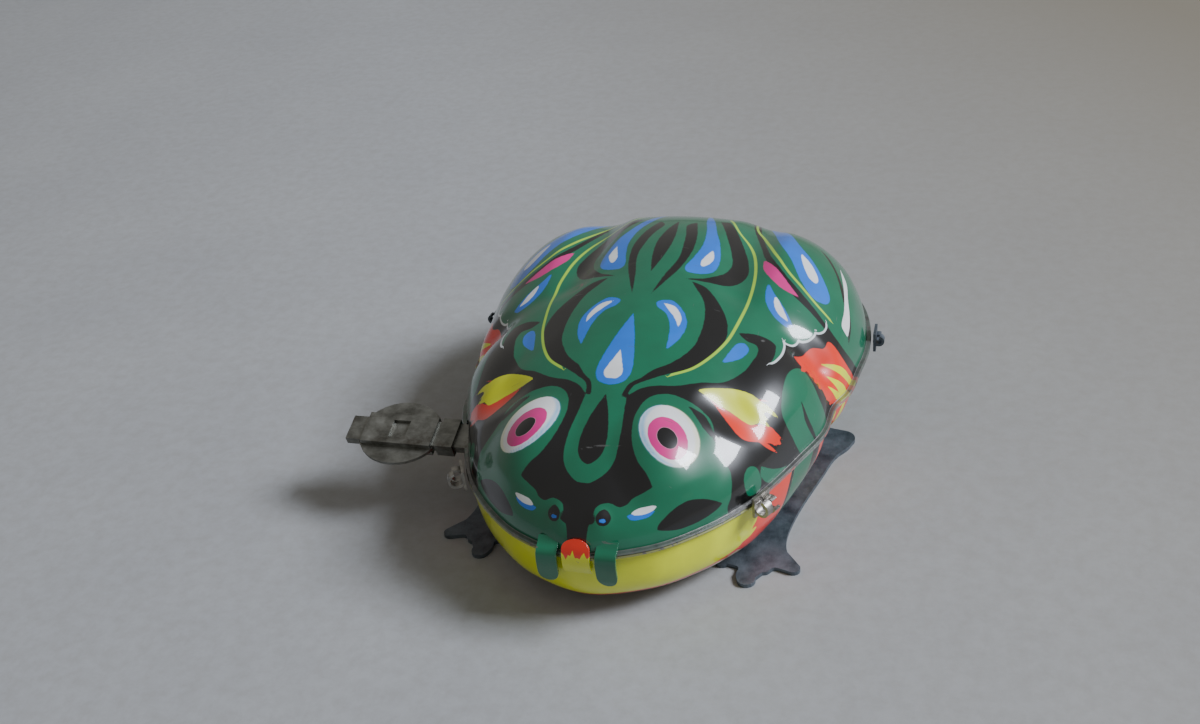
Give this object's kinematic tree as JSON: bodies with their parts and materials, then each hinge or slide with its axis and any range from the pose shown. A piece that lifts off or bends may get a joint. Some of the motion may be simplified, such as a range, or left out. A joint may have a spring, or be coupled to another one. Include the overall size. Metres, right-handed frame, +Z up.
{
  "type": "wind-up jumping frog toy",
  "caption": "Pressed tin wind-up frog: two printed shells, a side key, a small spring motor and one hinged leg frame with webbed feet that kicks down.",
  "frame": {"origin": "point on the resting plane of the soles, below the middle of the body", "axes": "+Z up from the resting plane, -Y the way the frog faces, +X the frog's left"},
  "size_m": [0.0732, 0.0796, 0.0285],
  "materials": {
    "printed_tin_green": "gloss lithograph",
    "printed_tin_yellow": "gloss lithograph",
    "bare_tin": "bare cut edge",
    "blackened_steel": "blackened",
    "key_steel": "dull grey",
    "spring_steel": "blued",
    "brass": "stamped",
    "steel": "stamped"
  },
  "bodies": {
    "body": {"upper_shell": "printed_tin_green", "lower_shell": "printed_tin_yellow", "clip_front_left": "bare_tin", "clip_front_right": "bare_tin", "clip_rear_left": "bare_tin", "clip_rear_right": "bare_tin", "leg_hinge_pin": "steel", "leg_return_spring": "spring_steel", "motor_plate_left": "steel", "motor_plate_right": "steel", "pillar_front_top": "steel", "pillar_front_low": "steel", "pillar_rear_top": "steel", "pillar_middle_low": "steel", "motor_foot_front": "steel", "motor_foot_rear": "steel", "foot_rivets": "steel", "mainspring": "spring_steel"},
    "leg_frame": {"leg_frame": "blackened_steel"},
    "winding_key": {"winding_arbor": "key_steel", "key_blade": "key_steel", "ratchet_wheel": "brass"},
    "great_wheel": {"great_gear": "brass", "click_rivet": "steel", "click_spring": "spring_steel"},
    "click": {"click": "brass"},
    "second_wheel": {"second_pinion": "steel", "second_gear": "brass"},
    "cam_wheel": {"cam_shaft": "steel", "snail_cam": "steel", "third_gear": "brass"},
    "fly": {"fly_pinion": "steel", "governor_fly": "steel"}
  },
  "joints": [
    {"name": "leg_kick", "type": "hinge", "parent": "body", "child": "leg_frame", "pos_m": [0, 0.0106, 0.0052], "axis": [1, 0, 0], "range_deg": [0, 35], "stiffness_Nm_per_rad": 0.002, "springref_deg": -20.05},
    {"name": "key_turn", "type": "hinge", "parent": "body", "child": "winding_key", "pos_m": [0, -0.0172, 0.0113], "axis": [1, 0, 0], "continuous": true},
    {"name": "great_wheel_spin", "type": "hinge", "parent": "body", "child": "great_wheel", "pos_m": [0, -0.0172, 0.0113], "axis": [1, 0, 0], "continuous": true},
    {"name": "second_wheel_spin", "type": "hinge", "parent": "body", "child": "second_wheel", "pos_m": [0, -0.00684, 0.01528], "axis": [1, 0, 0], "continuous": true},
    {"name": "cam_wheel_spin", "type": "hinge", "parent": "body", "child": "cam_wheel", "pos_m": [0, 0.00127, 0.01115], "axis": [1, 0, 0], "continuous": true},
    {"name": "fly_spin", "type": "hinge", "parent": "body", "child": "fly", "pos_m": [0, 0.00709, 0.01603], "axis": [1, 0, 0], "continuous": true},
    {"name": "click_lift", "type": "hinge", "parent": "great_wheel", "child": "click", "pos_m": [0, -0.0226, 0.0075], "axis": [1, 0, 0], "range_deg": [0, 12], "stiffness_Nm_per_rad": 0.00005, "springref_deg": -11.46}
  ],
  "couplings": [
    {"joint": "second_wheel_spin", "follows": "great_wheel_spin", "ratio": -3.4},
    {"joint": "cam_wheel_spin", "follows": "great_wheel_spin", "ratio": 8.84},
    {"joint": "fly_spin", "follows": "great_wheel_spin", "ratio": -24.31}
  ]
}
